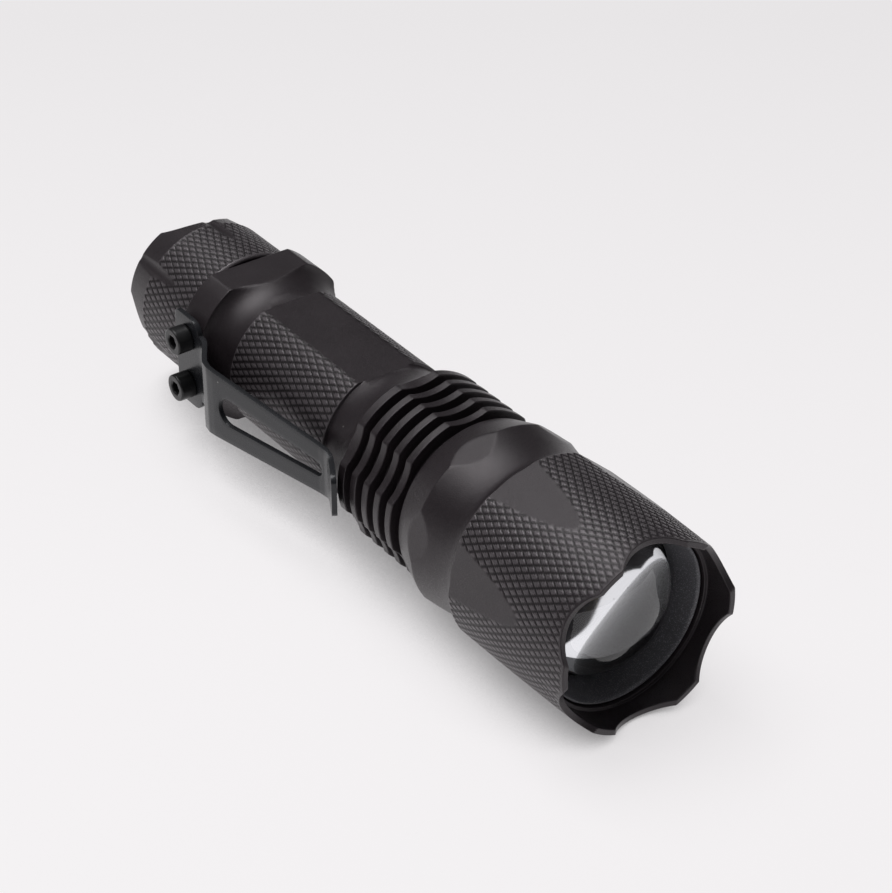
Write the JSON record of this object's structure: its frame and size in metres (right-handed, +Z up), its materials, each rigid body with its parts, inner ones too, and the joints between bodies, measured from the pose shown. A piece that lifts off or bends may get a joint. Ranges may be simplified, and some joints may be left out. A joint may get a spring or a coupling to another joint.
{
  "type": "tactical flashlight",
  "caption": "Pocket-size aluminium zoom flashlight with a knurled sliding head, cooling fins, a steel pocket clip and a push-button tail cap.",
  "frame": {"origin": "under the middle of the whole flashlight, on the surface that it lies on", "axes": "+X along the beam from the tail to the lens, +Z up with the flashlight on its side, the pocket clip on the -Y side"},
  "size_m": [0.1022, 0.028, 0.0266],
  "materials": {
    "black_anodised": "black anodised, bead blasted satin",
    "bezel_black": "black anodised, matt",
    "lens_clear": "polished aspheric lens",
    "black_rubber": "matt moulded rubber",
    "clip_steel": "dark coated spring steel, satin",
    "screw_steel": "black oxide",
    "spring_steel": "nickel plated spring wire",
    "gilt_contact": "gilt contact spring",
    "turned_brass": "turned brass",
    "board_white": "white solder mask on a metal core",
    "emitter_yellow": "phosphor under a clear dome",
    "white_plastic": "moulded white plastic",
    "black_plastic": "moulded black plastic",
    "board_green": "green solder mask",
    "wire_red": "extruded insulation",
    "wire_black": "extruded insulation",
    "cell_steel": "nickel plated can",
    "cell_wrap": "shrink wrap",
    "insulator_card": "fish paper"
  },
  "bodies": {
    "body": {"main_body": "black_anodised", "head_stop_ring": "spring_steel", "head_o_ring": "black_rubber", "led_pill": "turned_brass", "led_board": "board_white", "led_emitter": "emitter_yellow", "led_spacer": "white_plastic", "led_wire_positive": "wire_red", "led_wire_negative": "wire_black", "driver_board": "board_green", "driver_chip": "black_plastic", "driver_inductor": "black_plastic", "driver_spring": "gilt_contact", "battery_cell": "cell_steel", "battery_wrap": "cell_wrap", "battery_insulator": "insulator_card", "battery_positive_cap": "cell_steel", "tail_o_ring": "black_rubber", "pocket_clip_base": "clip_steel", "clip_screw_upper": "screw_steel", "clip_screw_lower": "screw_steel"},
    "lens_carrier": {"lens": "lens_clear", "lens_gasket": "black_rubber", "lens_retaining_ring": "bezel_black"},
    "head": {"zoom_head": "black_anodised"},
    "cap_carrier": {"tail_spring": "spring_steel", "switch_retaining_ring": "turned_brass"},
    "cap": {"tail_cap": "black_anodised", "boot_flange": "black_rubber", "switch_housing": "black_plastic", "switch_board": "board_green"},
    "button": {"switch_boot": "black_rubber", "switch_plunger": "black_plastic"},
    "clip": {"pocket_clip_arm": "clip_steel"}
  },
  "joints": [
    {"name": "zoom_slide", "type": "slide", "parent": "body", "child": "lens_carrier", "axis": [1, 0, 0], "range_m": [0, 0.008]},
    {"name": "head_spin", "type": "hinge", "parent": "lens_carrier", "child": "head", "pos_m": [0, 0.00076, 0.0133], "axis": [1, 0, 0], "continuous": true},
    {"name": "cap_travel", "type": "slide", "parent": "body", "child": "cap_carrier", "axis": [-1, 0, 0], "range_m": [0, 0.005]},
    {"name": "cap_turn", "type": "hinge", "parent": "cap_carrier", "child": "cap", "pos_m": [-0.0432, 0.00076, 0.0133], "axis": [-1, 0, 0], "range_deg": [0, 1800]},
    {"name": "button_press", "type": "slide", "parent": "cap", "child": "button", "axis": [1, 0, 0], "range_m": [0, 0.0013], "stiffness_N_per_m": 1500},
    {"name": "clip_flex", "type": "hinge", "parent": "body", "child": "clip", "pos_m": [-0.02935, -0.01054, 0.0133], "axis": [0, 0, -1], "range_deg": [0, 8], "stiffness_Nm_per_rad": 1}
  ],
  "couplings": [
    {"joint": "cap_travel", "follows": "cap_turn", "m_per_rad": 0.00015915}
  ]
}
